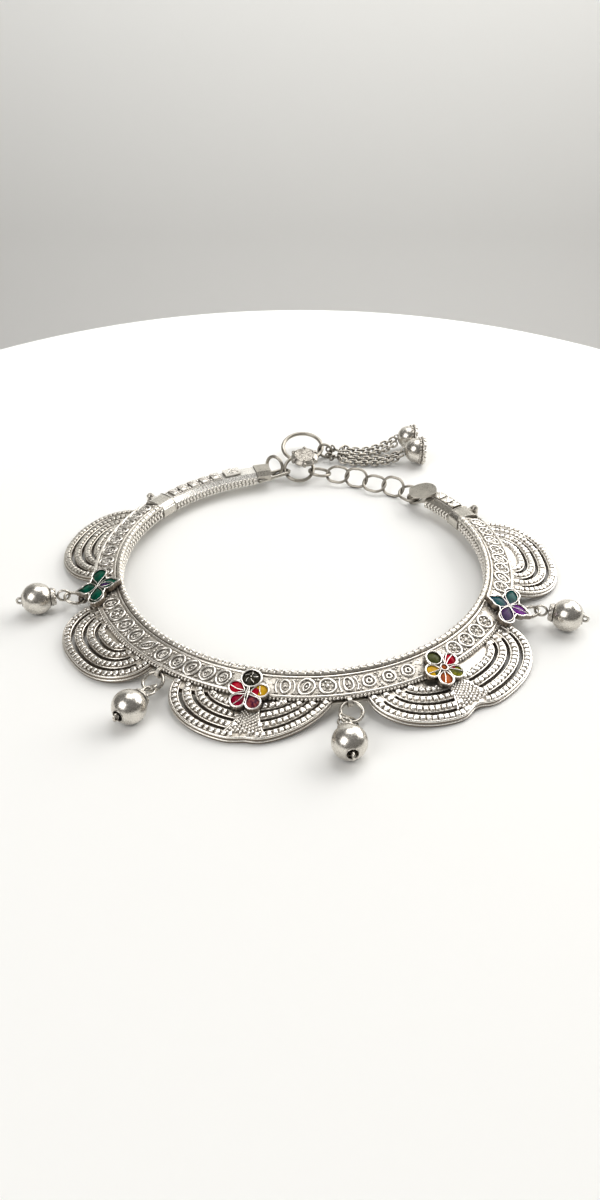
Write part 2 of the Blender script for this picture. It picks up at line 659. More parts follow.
ARMS = {"left": (-163.4, -131.0), "right": (121.6, 133.0)}
bits = []
for side, (lo, hi) in ARMS.items():
    for z, fl in ((3.66, False), (3.05, True), (2.5, False)):
        bits.append(rope(lo, hi, INNER + 0.1, z, 1.0, (0.62, 0.30, 0.30), 40, (-1.0, 0.0), 1, flip=fl))
make("arm_inner_braid", bits, bead_silver)

BLOCKS = [(-133.5, 1.6, 0.45), (-137.2, 2.0, 0.5), (-141.4, 2.0, 0.5), (-145.6, 2.0, 0.5), (-149.8, 2.2, 0.55), (-155.6, 4.0, 0.75),
          (123.4, 1.8, 0.45), (126.6, 2.2, 0.5), (130.0, 2.2, 0.5)]
bits = []
for phi0, w, h in BLOCKS:
    pl = at(phi0) @ move(INNER + 3.05, 0, 4.75 + h)
    hw, hl = w / 2 - 0.16, 1.12
    box = np.array([(hl, -hw), (hl, hw), (-hl, hw), (-hl, -hw)])
    o = np.vstack([np.linspace(box[i], box[(i + 1) % 4], 6, endpoint=False) for i in range(4)])
    bits += pillow(o, -0.03, 0.2 if w < 3 else 0.12, pl, rings=5)
    if w > 3:
        for s in (-1, 1):
            bits += [(pl(v), f) for v, f in sweep(smooth_line([(-1.0, s * 1.5), (-0.2, s * 0.9), (0.4, s * 0.2), (1.0, s * -0.3)]) @ np.array([[1, 0, 0], [0, 1, 0]]) + np.array([0, 0, 0.1]), 0.17, 6)]
        bits += torus(pl @ move(-0.45, 0.2, 0.1), 0.42, 0.14, 20, 6)
    else:
        bits += [(pl(v), f) for v, f in sweep(np.array([(-1.0, -hw + 0.1, 0.12), (0.0, 0.0, 0.24), (1.0, hw - 0.1, 0.12)]), 0.16, 6)]
# domed bosses between the blocks, and a fine wire along each side
for (a, b) in ((-133.5, -137.2), (-137.2, -141.4), (-141.4, -145.6), (-145.6, -149.8), (123.4, 126.6), (126.6, 130.0)):
    m = (a + b) / 2
    for s in (-0.75, 0.75):
        bits.append(beads(at(m) (np.array([[INNER + 3.05 + s, 0, 4.85]])), np.array([[0.42, 0.34, 0.3]]), at(m).R.T[None], 2))
for lo, hi in ((-151.5, -131.6), (121.8, 131.4)):
    phi = np.linspace(lo, hi, 40)
    for r in (INNER + 1.62, INNER + 4.42):
        bits += sweep(polar(r, phi, 4.8), 0.15, 6)
make("arm_relief", bits, ornament_silver)

def rounded(points, times=2):
    """Takes the corners off a run of points, keeping both ends."""
    q = np.asarray(points, float)
    for _ in range(times):
        a, b = q[:-1], q[1:]
        q = np.vstack([q[:1], np.stack([a * 0.75 + b * 0.25, a * 0.25 + b * 0.75], 1).reshape(-1, 2), q[-1:]])
    return q


def curved_plate(outer, inner, phi0, phi1, n=24):
    """A bent sheet round the ring between two runs of (radius, height), closed at its four edges."""
    loop = np.vstack([outer, inner[::-1]])
    m, k = len(loop), len(outer)
    phi = np.linspace(phi0, phi1, n)
    v = polar(loop[None, :, 0], phi[:, None], loop[None, :, 1]).reshape(-1, 3)
    i, j = np.arange(n - 1)[:, None], np.arange(m)[None, :]
    f = np.stack([i * m + j, i * m + (j + 1) % m, (i + 1) * m + (j + 1) % m, (i + 1) * m + j], -1).reshape(-1, 4)
    c = np.arange(k - 1)
    end = np.stack([c, 2 * k - 1 - c, 2 * k - 2 - c, c + 1], -1)
    return [(v, f), (v, np.vstack([end, (end + (n - 1) * m)[:, ::-1]]))]


collar_silver = silver("silver_collar", (0.66, 0.63, 0.57), (0.10, 0.083, 0.065), rough=0.24, reach=1.0, power=1.3, patches=0.25, grain=0.1)
for side, lo, hi in (("left", -130.45, -124.15), ("right", 115.35, 121.05)):
    outer = rounded([(INNER - 0.12, 2.12), (INNER - 0.12, 4.14), (INNER + 1.05, 5.24), (INNER + 4.66, 5.24), (INNER + 5.46, 4.25)])
    inner = rounded([(INNER + 0.06, 2.12), (INNER + 0.06, 4.05), (INNER + 1.12, 5.04), (INNER + 4.56, 5.04), (INNER + 5.28, 4.19)])
    bits = curved_plate(outer, inner, lo, hi)
    for a in (lo + 0.2, hi - 0.2):
        bits += sweep(polar(outer[:, 0], a, outer[:, 1]), 0.14, 7, up=direction(a + 90))
    make("collar_" + side + "_sleeve", bits, collar_silver)

# ------------------------------------------------------------------ panels

PANELS = [
    ("panel_far_left", -103.0, 18.3, 9.7, 2.6, 2.0, 0.50, 0.75, 0, 0, 0),
    ("panel_left", -56.8, 15.6, 9.9, 2.8, 2.4, 0.50, 0.55, 0, 0, 0),
    ("panel_front_left", -13.0, 19.8, 10.0, 2.3, 1.6, 0.50, 0.90, 0.06, 0.06, 0.10),
    ("panel_front_right", 39.6, 24.2, 11.2, 2.4, 3.2, 0.55, 0.50, -0.12, 0.13, 0.09),
    ("panel_back_right", 96.0, 17.5, 10.9, 2.6, 2.6, 0.50, 0.50, 0, 0, 0),
]


def scallop(p, t, s):
    """(radius, angle) of the point that lies t mm inside the outline, at s from -1 to 1 along it."""
    s = np.asarray(s, float)
    u = np.sin(s * PI / 2)
    phi = p[1] + (p[2] - t * 1.14) * u
    e = np.where(u < 0, p[4], p[5])
    q = np.where(u < 0, p[6], p[7])
    swell = np.maximum(0, 1 - np.abs(u) ** e) ** q * (1 - p[9] * np.exp(-((u - p[8]) / 0.11) ** 2))
    return OUT + np.maximum(0.3, p[3] - t * 0.87) * swell, phi


def panel_top(p, r):
    hem = OUT + p[3]
    zi = 2.05 + GAP + 1.1
    return zi + (np.asarray(r) - INNER - 5.4) / (hem - INNER - 5.4) * (1.1 - zi)


def row(p, t, h=0.0, n=160, s0=-0.985, s1=0.985, start=0.12):
    """Points along a row, h above the panel, only where they are clear of the band's lip."""
    r, phi = scallop(p, t, np.linspace(s0, s1, n))
    keep = r > OUT + start
    r, phi = r[keep], phi[keep]
    return polar(r, phi, panel_top(p, r) + h)


def along(path, pitch, offset=0.5):
    """Evenly spaced points of a path, with the direction there."""
    d = np.r_[0, np.cumsum(np.linalg.norm(np.diff(path, axis=0), axis=1))]
    n = max(1, int(d[-1] / pitch))
    s = (np.arange(n) + offset) * d[-1] / n
    pts = np.stack([np.interp(s, d, path[:, k]) for k in range(3)], -1)
    e = d[-1] * 0.002 + 0.02
    nxt = np.stack([np.interp(np.minimum(s + e, d[-1]), d, path[:, k]) for k in range(3)], -1)
    prv = np.stack([np.interp(np.maximum(s - e, 0), d, path[:, k]) for k in range(3)], -1)
    return pts, unit(nxt - prv)


def split_at_stem(p, path):
    """Cuts a row's path where the panel's stem crosses it."""
    if p[10] == 0:
        return [path]
    a = np.degrees(np.arctan2(path[:, 0], -path[:, 1]))
    m = p[1] + p[2] * math.sin(p[8] / 1.57 * PI / 2)
    half = p[10] * p[2] * 0.95
    left, right = path[a < m - half], path[a > m + half]
    return [q for q in (left, right) if len(q) > 4]


for p in PANELS:
    beads_p, wires, stem = [], [], []
    slope = math.atan((2.12) / (p[3] + 0.5))
    for k in range(4):
        t0 = 2.7 * k
        width = 1.85
        if k == 0:
            wires += sweep(row(p, 0.22, 0.06, start=0.0), 0.24, 8)
            centre, size, pitch = 1.02, 0.52, 1.17
        else:
            centre, size, pitch = 0.92, 0.53, 1.15
        rows_t = t0 + centre
        if p[3] - rows_t * 0.87 < 0.9 or p[2] - rows_t * 1.14 < 2:
            continue
        for piece in split_at_stem(p, row(p, rows_t, 0.16)):
            pts, tan = along(piece, pitch)
            n = len(pts)
            nor = unit(np.stack([pts[:, 0], pts[:, 1], np.full(n, 0)], -1)) * math.sin(slope) + np.array([0, 0, math.cos(slope)])
            side = np.cross(nor, tan)
            tw = rng.uniform(-0.25, 0.25, n)[:, None]
            e1 = unit(tan + side * tw)
            e2 = np.cross(nor, e1)
            F = np.stack([e1, e2, nor], 1)
            R = np.stack([rng.uniform(0.42, 0.52, n), rng.uniform(0.48, 0.62, n), rng.uniform(0.36, 0.52, n)], -1) * (size / 0.5)
            beads_p.append(beads(pts, R, F, 2, square=0.35))
        # fine wires on both sides of the granules
        inner_w = row(p, t0 + width - 0.12, 0.02)
        for piece in split_at_stem(p, inner_w):
            if len(piece) > 4:
                wires += sweep(piece, 0.17, 7)
        if k > 0:
            outer_w = row(p, t0 + 0.14, 0.02)
            for piece in split_at_stem(p, outer_w):
                if len(piece) > 4:
                    wires += sweep(piece, 0.17, 7)
    # the heart of the scallop: larger grains and a small scroll
    for t, rr, pitch in ((9.3, 0.62, 1.35),):
        if p[2] - t * 1.14 > 1.5 and p[3] - t * 0.87 > 0.4:
            path = row(p, t, 0.2, start=0.3)
            if len(path) > 6:
                for piece in split_at_stem(p, path):
                    pts, _ = along(piece, pitch)
                    beads_p.append(beads(pts, np.full((len(pts), 3), rr) * rng.uniform(0.85, 1.1, (len(pts), 1)), level=2))
    # granulated stem
    if p[10] > 0:
        m = p[1] + p[2] * math.sin(p[8] / 1.57 * PI / 2)
        half = p[10] * p[2] * 0.95
        r_out = scallop(p, 0.55, np.array([p[8] / 1.57]))[0][0]
        for i, sp in enumerate(np.linspace(-1, 1, 9)):
            r = np.arange(OUT + 1.3 + 0.35 * (i % 2), r_out - 0.25 - 0.2 * (1 - sp * sp), 0.72)
            f = (r - OUT - 1.3) / (r_out - OUT - 1.3)
            ph = m + sp * half * (0.75 + 1.15 * f ** 1.7) + rng.uniform(-0.08, 0.08, len(r))
            rr = rng.uniform(0.27, 0.36, len(r)) + 0.08 * f
            stem.append(beads(polar(r, ph, panel_top(p, r) + 0.14), np.stack([rr, rr * 1.1, rr], -1), level=1))
        k = 170
        r = rng.uniform(OUT + 1.2, r_out - 0.2, k)
        f = (r - OUT - 1.2) / (r_out - OUT - 1.2)
        ph = m + rng.uniform(-1, 1, k) * half * (0.75 + 1.15 * f ** 1.7)
        stem.append(beads(polar(r, ph, panel_top(p, r) + 0.08), rng.uniform(0.14, 0.24, k)[:, None] * np.ones(3), level=1))
        for sgn in (-1, 1):
            f = np.linspace(0, 1, 16)
            r = OUT + 1.6 + f * (r_out - OUT - 1.9)
            ph = m + sgn * half * (0.85 + 1.3 * f ** 1.7)
            stem += sweep(polar(r, ph, panel_top(p, r) + 0.2), np.linspace(0.16, 0.24, 16), 7)
    # a fine moulding round the scallop's edge
    wires += sweep(row(p, 0.0, -0.56, start=0.0), 0.2, 7)
    far, pale = p[0] == "panel_far_left", p[0] in PALE
    make(p[0] + "_beading", beads_p + stem, far_silver if far else pale_beads if pale else bead_silver)
    make(p[0] + "_wires", wires, far_silver if far else pale_wire if pale else wire_silver)

# ------------------------------------------------------------------ enamelled plaques

def plaque_place(phi, out, twist):
    return (at(phi) @ move(INNER + 4.0, 0, BAND_H - 2.0 * math.tan(TILT) + 0.05) @ turn([0, math.degrees(TILT), 0])
            @ move(out, 0, LIFT) @ turn([0, 0, twist]))


RED = enamel("enamel_red", (0.50, 0.006, 0.025), (0.30, 0.0, 0.012))
CRIMSON = enamel("enamel_crimson", (0.34, 0.004, 0.03), (0.16, 0.0, 0.015))
PINK = enamel("enamel_pink", (0.62, 0.16, 0.13), (0.22, 0.02, 0.02), mixed=0.3)
YELLOW = enamel("enamel_yellow", (0.72, 0.42, 0.015), (0.50, 0.26, 0.01))
OLIVE = enamel("enamel_olive", (0.30, 0.29, 0.02), (0.07, 0.08, 0.012), mixed=0.4)
BLACK = enamel("enamel_black", (0.012, 0.011, 0.008), (0.05, 0.045, 0.03), scale=1600, mixed=0.2)
DARK_OLIVE = enamel("enamel_dark_olive", (0.035, 0.045, 0.012), (0.10, 0.11, 0.04), mixed=0.4)
ORANGE = enamel("enamel_orange", (0.55, 0.13, 0.02), (0.28, 0.05, 0.01))
GREEN = enamel("enamel_green", (0.0, 0.085, 0.048), (0.0, 0.035, 0.022), scale=700)
TEAL = enamel("enamel_teal", (0.0, 0.085, 0.078), (0.0, 0.035, 0.038), scale=700)
BLUE = enamel("enamel_blue", (0.0, 0.035, 0.07), (0.0, 0.075, 0.075), scale=600)
VIOLET = enamel("enamel_violet", (0.055, 0.012, 0.095), (0.022, 0.012, 0.05), scale=700)
PURPLE = enamel("enamel_purple", (0.16, 0.012, 0.24), (0.06, 0.006, 0.11), scale=600)
DARK_GREEN = enamel("enamel_dark_green", (0.01, 0.035, 0.022), (0.03, 0.03, 0.02))
DARK_VIOLET = enamel("enamel_dark_violet", (0.05, 0.015, 0.08), (0.02, 0.02, 0.05))
MAROON = enamel("enamel_maroon", (0.07, 0.008, 0.03), (0.30, 0.06, 0.06), scale=1300, mixed=0.25)


def petal(angle, r_in, centre, r, n=30):
    """A petal's outline: a round lobe drawn in to a point near the flower's middle."""
    a = np.linspace(-PI * 0.72, PI * 0.72, n)
    lobe = np.stack([centre + r * np.cos(a), r * np.sin(a)], -1)
    tip = np.array([[r_in, 0.18], [r_in, -0.18]])
    o = np.vstack([lobe, tip])
    c, s = math.cos(rad(angle)), math.sin(rad(angle))
    return o @ np.array([[c, s], [-s, c]])


def ring_wire(outline, z, radius, place, sides=7):
    path = np.column_stack([outline, np.full(len(outline), z)])
    return [(place(v), f) for v, f in sweep(path, radius, sides, closed=True)]


def open_wire(pts, z, radius, place, sides=6):
    q = np.asarray(pts, float)
    path = np.column_stack([q, np.full(len(q), z)]) if q.shape[1] == 2 else q
    return [(place(v), f) for v, f in sweep(path, radius, sides)]


def tag(parts, index):
    return [(v, f, index) for v, f in parts]


def exits(theta, shapes):
    """How far a ray from the middle runs inside a union of shapes; a shape is (kind, numbers)."""
    out = np.zeros_like(theta)
    c, s = np.cos(theta), np.sin(theta)
    for kind, *q in shapes:
        if kind == "disc":
            x, y, r = q
            b = c * x + s * y
            d = b * b - (x * x + y * y - r * r)
            out = np.maximum(out, np.where(d > 0, b + np.sqrt(np.maximum(d, 0)), 0))
        else:
            ang, l, w = q
            rho = (l * l + w * w) / (4 * w)
            ca, sa = np.cos(theta - rad(ang)), np.sin(theta - rad(ang))
            k = rho - w / 2
            # inside both circles whose middles lie k either side of the leaf's long axis
            e = np.minimum(-sa * k + np.sqrt(rho * rho - k * k * ca * ca), sa * k + np.sqrt(rho * rho - k * k * ca * ca))
            out = np.maximum(out, e)
    return out


def outline(shapes, grow=0.0, n=180):
    t = np.linspace(0, 2 * PI, n, endpoint=False)
    r = np.maximum(exits(t, shapes) + grow, 0.2)
    return np.stack([r * np.cos(t), r * np.sin(t)], -1)


STAR = [("leaf", 0, 10.4, 3.7), ("leaf", 90, 12.0, 4.3), ("disc", 2.3, 0, 1.8), ("disc", -2.3, 0, 1.8), ("disc", 0, 4.1, 1.75), ("disc", 0, -4.1, 1.75)]


def leaf(angle, tip, half, root=0.3, belly=0.5, bend=0.0, n=22):
    """A petal from near the middle to a tip, widest at belly of its length; bend bows it sideways."""
    q = np.linspace(0, 1, n)
    e = math.log(0.5) / math.log(belly)
    hw = half * np.sin(PI * q ** e) ** 0.75 + 0.03
    x = root + (tip - root) * q
    y = bend * np.sin(PI * q)
    o = np.vstack([np.stack([x, y + hw], -1), np.stack([x, y - hw], -1)[::-1]])
    c, s = math.cos(rad(angle)), math.sin(rad(angle))
    return o @ np.array([[c, s], [-s, c]])


def within(o, shapes, margin):
    """Draws an outline in wherever it would leave a cup's floor."""
    r = np.maximum(np.hypot(o[:, 0], o[:, 1]), 1e-6)
    room = exits(np.arctan2(o[:, 1], o[:, 0]), shapes) - margin
    return o * np.minimum(1.0, room / r)[:, None]


def cup_rim(shapes, pl, n=180):
    """The bright edge of a cup and a bead of wire round its foot."""
    o = outline(shapes, -0.12, n)
    parts = ring_wire(o, 1.13, 0.16, pl)
    return parts


FLOOR_Z, RIM_Z = 0.8, 1.12
# left flower; its shapes are discs about its middle
LEFT_FLOWER = [("disc", 0, 0, 2.0), ("disc", -3.15, 0, 2.1)] + [("disc", 2.55 * math.cos(rad(a)), 2.55 * math.sin(rad(a)), 1.62) for a in (252, 324, 36, 108)]
RIGHT_FLOWER = [("disc", 0, 0, 2.0), ("disc", -2.8, 0, 1.75)] + LEFT_FLOWER[2:]
pl = plaque_place(-13.2, 2.4, 0)
mats = [rim_silver, BLACK, CRIMSON, RED, YELLOW, PINK, MAROON]
fill = tag(cup_rim(LEFT_FLOWER, pl, 240), 0)
top = circle(1.72, 36, -3.15, 0.0)
fill += tag(pillow(top, FLOOR_Z, 1.0, pl, rings=9, edge=0.6), 1)
fill += tag(ring_wire(circle(1.9, 40, -3.15, 0), RIM_Z, 0.17, pl), 0)
for a_ in (15, 87, 159, 231, 303):
    u = np.linspace(0.5, 1.25, 7)
    b_ = rad(a_) + 0.5 * (u - 0.5)
    q = np.stack([-3.15 + u * np.cos(b_), u * np.sin(b_)], -1)
    z = FLOOR_Z + 1.0 * (1 - (u / 1.72) ** 2.4) * 0.98 + 0.02
    fill += tag(open_wire(np.column_stack([q, z]), 0, 0.085, pl), 0)
fill += tag([beads(pl(np.array([[-3.15, 0.0, FLOOR_Z + 0.98]])), np.full((1, 3), 0.16), level=1)], 0)
for ang, mat in ((108, 4), (36, 6), (324, 2), (252, 3)):
    o = petal(ang, 0.7, 2.58, 1.36)
    fill += tag(pillow(o, FLOOR_Z, 0.34, pl), mat)
    fill += tag(ring_wire(o, RIM_Z - 0.04, 0.13, pl), 0)
# red inner half of the right petal, and the line that parts the left ones
o = petal(108, 0.8, 1.75, 0.78)
fill += tag(pillow(o, FLOOR_Z + 0.1, 0.27, pl), 3)
for ang in (252, 324):
    a = rad(ang)
    fill += tag(open_wire([(0.9 * math.cos(a), 0.9 * math.sin(a)), (2.3 * math.cos(a + 0.12), 2.3 * math.sin(a + 0.12)), (3.7 * math.cos(a + 0.03), 3.7 * math.sin(a + 0.03))], RIM_Z, 0.11, pl), 0)
a = rad(108)
fill += tag(open_wire([(2.45 * math.cos(a) - 0.9 * math.sin(a), 2.45 * math.sin(a) + 0.9 * math.cos(a)), (2.3 * math.cos(a), 2.3 * math.sin(a)),
                       (2.45 * math.cos(a) + 0.9 * math.sin(a), 2.45 * math.sin(a) - 0.9 * math.cos(a))], RIM_Z, 0.1, pl), 0)
fill += tag(pillow(circle(0.72, 20), FLOOR_Z, 0.42, pl), 0)
for y in (-0.22, 0.22):
    fill += tag(open_wire([(-1.1, y * 0.6), (0, y), (1.3, y * 1.2)], RIM_Z + 0.12, 0.13, pl), 0)
make("flower_left_enamel", fill, mats)

# right flower
pl = plaque_place(35.6, 2.5, 8)
mats = [rim_silver, DARK_OLIVE, RED, CRIMSON, OLIVE, ORANGE, YELLOW]
fill = tag(cup_rim(RIGHT_FLOWER, pl, 240), 0)
top = circle(1.36, 32, -2.8, 0.0)
fill += tag(pillow(top, FLOOR_Z, 0.5, pl, rings=8, edge=0.6), 1)
fill += tag(ring_wire(circle(1.55, 36, -2.8, 0), RIM_Z, 0.16, pl), 0)
for ang, mat in ((108, 2), (36, 4), (324, 5), (252, 6)):
    o = petal(ang, 0.8, 2.58, 1.36)
    fill += tag(pillow(o, FLOOR_Z, 0.34, pl), mat)
    fill += tag(ring_wire(o, RIM_Z - 0.04, 0.13, pl), 0)
o = petal(62, 0.9, 1.9, 0.62)
fill += tag(pillow(o, FLOOR_Z + 0.08, 0.27, pl), 3)
o = petal(268, 0.9, 2.0, 0.62)
fill += tag(pillow(o, FLOOR_Z + 0.1, 0.24, pl), 1)
for ang, d in ((108, 0.02), (108, 0.3), (36, 0.12), (324, -0.1), (252, 0.1)):
    a = rad(ang) + d
    fill += tag(open_wire([(0.9 * math.cos(a), 0.9 * math.sin(a)), (2.3 * math.cos(a + 0.05), 2.3 * math.sin(a + 0.05)), (3.65 * math.cos(a), 3.65 * math.sin(a))], RIM_Z, 0.11, pl), 0)
fill += tag(pillow(circle(0.62, 20), FLOOR_Z + 0.12, 0.42, pl), 5)
fill += tag(ring_wire(circle(0.76, 22), RIM_Z + 0.12, 0.15, pl), 0)
make("flower_right_enamel", fill, mats)


def star(name, phi, out, twist, petals, ground):
    """petals are (material, outline); the ground is enamel laid between the petals."""
    pl = plaque_place(phi, out, twist)
    mats = [rim_silver, ground] + [m for m, _ in petals]
    fill = tag(cup_rim(STAR, pl), 0)
    fill += tag(pillow(outline(STAR, -0.28, 120), FLOOR_Z - 0.02, 0.22, pl, rings=5, edge=0.8), 1)
    for i, (_, o) in enumerate(petals):
        up = 0.0 if i < 4 else 0.07
        o = within(o, STAR, 0.3)
        fill += tag(pillow(o, FLOOR_Z + 0.06 + up, 0.32, pl, rings=6, edge=0.6), 2 + i)
        fill += tag(ring_wire(o, FLOOR_Z + 0.3 + up, 0.075, pl), 0)
        if petals[i][0] is PURPLE:
            # the wire that parts this petal's two halves
            tip = o[np.argmax(np.hypot(o[:, 0], o[:, 1]))]
            fill += tag(open_wire([(*(tip * 0.1), 1.12), (*(tip * 0.5), 1.2), (*(tip * 0.94), 1.1)], 0, 0.07, pl), 0)
    fill += tag(pillow(circle(0.26, 14), FLOOR_Z + 0.3, 0.16, pl), 0)
    make(name, fill, mats)


# outward is 0 degrees, towards larger angles round the ring is 90
star("star_left_enamel", -75.9, 0.8, -12, [
    (GREEN, leaf(180, 4.85, 1.62, belly=0.5)),
    (GREEN, leaf(270, 5.6, 1.58, belly=0.68)),
    (GREEN, leaf(0, 4.85, 1.6, belly=0.5)),
    (GREEN, leaf(90, 5.0, 1.42, belly=0.6)),
    (VIOLET, leaf(172, 3.5, 0.62, root=0.4, belly=0.4)),
], DARK_GREEN)
star("star_right_enamel", 67.6, 2.1, 6, [
    (BLUE, leaf(180, 4.85, 1.66, belly=0.48)),
    (TEAL, leaf(90, 5.5, 1.38, belly=0.56)),
    (PURPLE, leaf(0, 4.85, 1.72, belly=0.46)),
    (VIOLET, leaf(270, 5.45, 1.42, belly=0.54)),
], DARK_VIOLET)

# ------------------------------------------------------------------ drops

DROPS = {"front": (10.7, "lip", 8.2, 58.0), "front_left": (-37.2, "lip", -34.7, 57.9),
         "left": (-77.4, "star", -77.6, 58.1), "right": (71.4, "star", 71.4, 58.2)}
BELL_R = 3.4
EYE_X = BELL_R + 2.15
EYELET_R, EYELET_Z = INNER + 6.75, 3.15
EAR_R, EAR_Z = INNER + 8.6, 2.0


def arc_points(r, a0, a1, n):
    a = np.radians(np.linspace(a0, a1, n))
    return np.stack([r * np.cos(a), r * np.sin(a)], -1)


for name, (phi0, kind, phi_b, dist) in DROPS.items():
    pb = at(phi_b) @ move(dist, 0, BELL_R)
    axis = pb @ turn([0, 90, 0])
    # the shell: outside from the mouth to the neck, then back inside
    mouth = math.degrees(math.acos(1.15 / BELL_R))
    neck = math.degrees(math.acos(0.44 / BELL_R))
    outer = arc_points(BELL_R, mouth, -neck, 60)
    inner = arc_points(BELL_R - 0.35, -math.degrees(math.acos(0.44 / 3.05)), math.degrees(math.acos(1.15 / 3.05)), 40)
    lip = np.array([(1.28, BELL_R * 0.935), (1.36, BELL_R * 0.95)])
    bits = lathe(np.vstack([outer, inner]), axis, 80)
    # collar: a cone, a plain ring and a ring of grains
    bits += lathe([(0.44, -BELL_R + 0.2), (1.9, -BELL_R + 0.2), (1.9, -BELL_R + 0.02), (1.3, -BELL_R - 0.55), (0.44, -BELL_R - 0.55)], axis, 56)
    bits += torus(axis @ move(0, 0, -BELL_R + 0.32), 1.86, 0.16, 48, 8)
    a = np.arange(12) * 2 * PI / 12
    ring = np.stack([1.5 * np.cos(a), 1.5 * np.sin(a), np.full(12, -BELL_R - 0.18)], -1)
    bits.append(beads(axis(ring), np.full((12, 3), 0.36), level=2))
    bits += torus(axis @ move(0, 0, BELL_R * 0.935), 1.22, 0.1, 40, 7)
    make("bell_" + name + "_body", bits, polished, ["bell_" + name])

    # wire through the bell, its eye and its curled end
    bits = [(pb(v), f) for v, f in sweep(np.array([(-BELL_R - 0.9, 0, 0), (0, 0, 0), (BELL_R - 0.3, 0, 0)]), 0.28, 10, up=(0, 0, 1))]
    bits += torus(pb @ move(-EYE_X, 0, 0) @ turn([0 if kind == "lip" else 90, 0, 0]), 1.15 if kind == "lip" else 1.25, 0.26, 48, 10)
    bits += torus(pb @ move(BELL_R + 0.25, 0, 0) @ turn([90, 0, 0]), 0.62, 0.27, 32, 10)
    make("bell_wire_" + name, bits, drop_silver, ["bell_pin_" + name])

    # hanging ring
    if kind == "lip":
        place = at(phi0) @ move(EYELET_R, 0, EYELET_Z) @ turn([0, 24, 0]) @ move(2.1, 0, 0)
        bits = torus(place, 2.1, 0.36, 72, 12)
    else:
        place = at(phi0) @ move(EAR_R, 0, EAR_Z) @ turn([0, -15, 0]) @ move(1.95, 0, 0)
        bits = torus(place, 1.95, 0.34, 72, 12)
    make("hanging_ring_" + name, bits, drop_silver, ["hanger_" + name])

    if kind == "lip":
        a = EYELET_R * direction(phi0) + 4.2 * math.cos(rad(24)) * direction(phi0)
        za = EYELET_Z - 4.2 * math.sin(rad(24))
        b = (dist - EYE_X - 1.15) * direction(phi_b)
        zb = BELL_R
        m = (a + b) / 2
        turn_z = math.degrees(math.atan2(b[1] - a[1], b[0] - a[0]))
        rise = math.degrees(math.atan2(zb - za, np.linalg.norm(b - a)))
        span = math.sqrt((b[0] - a[0]) ** 2 + (b[1] - a[1]) ** 2 + (zb - za) ** 2)
        place = move(m[0], m[1], (za + zb) / 2) @ turn([0, 0, turn_z]) @ turn([0, -rise, 0]) @ turn([90 + (75 if phi_b < phi0 else -75), 0, 0])
        make("small_link_" + name, oval(place, round(50 * (span + 2.4)) / 50, 2.3, 0.25, 48, 10), drop_silver, ["drop_link_" + name])

# ------------------------------------------------------------------ closure

LINKS = [
    ("link_1", (8.8, 43.0, 2.38), (30, -1, -22)), ("link_2", (13.42, 41.12, 2.47), (68.5, -4, -20.5)),
    ("link_3", (17.88, 38.93, 2.08), (27, 1.5, -25.5)), ("link_4", (22.39, 36.92, 2.36), (63.5, 0.5, -30)),
    ("link_5", (26.41, 34.07, 2.06), (18, 2, -42)),
]
for name, c, e in LINKS:
    make(name + "_wire", oval(move(*c) @ turn(e), 6.26, 5.16, 0.34, 84, 12), ring_silver, [name])
for name, c, e, rc, rw in (
    ("jump_ring", (-7.13, 45.43, 3.51), (81.5, -0.5, -36), 2.4, 0.38),
    ("centre_ring", (-1.0, 44.87, 2.95), (27, -0.5, 4.5), 3.6, 0.38),
    ("chain_ring", (4.23, 44.09, 2.39), (-12, 4.5, -17), 2.6, 0.34),
    ("pull_ring", (-0.1, 57.2, 2.55), (16, 0, 0), 5.1, 0.45),
    ("tassel_ring", (5.8, 55.95, 2.2), None, 1.75, 0.3),
    ("tassel_head", (8.4, 55.3, 1.75), (10, 8, 0), 1.6, 0.28),
):
    R = move(*c) @ (turn(e) if e is not None else turn([0, 0, -14]) @ turn([90, 0, 0]))
    bits = torus(R, rc, rw + 0.04, 96, 14)
    if name == "tassel_head":
        for q in (105, 140, 215, 250):
            bits += torus(R @ turn([0, 0, q]) @ move(rc + 0.45, 0, 0) @ turn([90, 0, 0]) @ turn([0, 25 if q < 180 else -25, 0]), 0.78, 0.24, 28, 8)
    make(name + "_wire", bits, ring_silver, [name])
place = move(-0.7, 50.2, 2.87) @ turn([0, 39.2, 90]) @ turn([90, 0, 0])
make("pull_link_wire", oval(place, 7.66, 2.4, 0.31, 64, 12), ring_silver, ["pull_link"])

# pave of rough grains on the clasp's disc
pd = move(0.4, 45.7, 5.5) @ turn([12, 0, 0])
k = 110
rr = 2.3 * np.sqrt(rng.uniform(0, 1, k))
aa = rng.uniform(0, 2 * PI, k)
size = rng.uniform(0.14, 0.27, k)
bits = [beads(pd(np.stack([rr * np.cos(aa), rr * np.sin(aa), np.full(k, 1.12)], -1)), np.stack([size, size, size * 0.8], -1), level=1)]
bits += torus(pd @ move(0, 0, 1.12), 2.42, 0.15, 48, 7)
bits += torus(pd @ move(0, 0, 0.42), 3.2, 0.18, 56, 7)
a = np.arange(6) * PI / 3 + PI / 6
bits.append(beads(pd(np.stack([3.15 * np.cos(a), 3.15 * np.sin(a), np.full(6, 0.5)], -1)), np.full((6, 3), 0.58), level=2))
for q in a:
    bits += [(pd(v), f) for v, f in sweep(np.array([(3.3 * math.cos(q), 3.3 * math.sin(q), 0.4), (2.9 * math.cos(q), 2.9 * math.sin(q), 0.95), (2.35 * math.cos(q), 2.35 * math.sin(q), 1.22)]), 0.26, 7)]
make("clasp_disc_grains", bits, pave_silver)

# ------------------------------------------------------------------ tassel

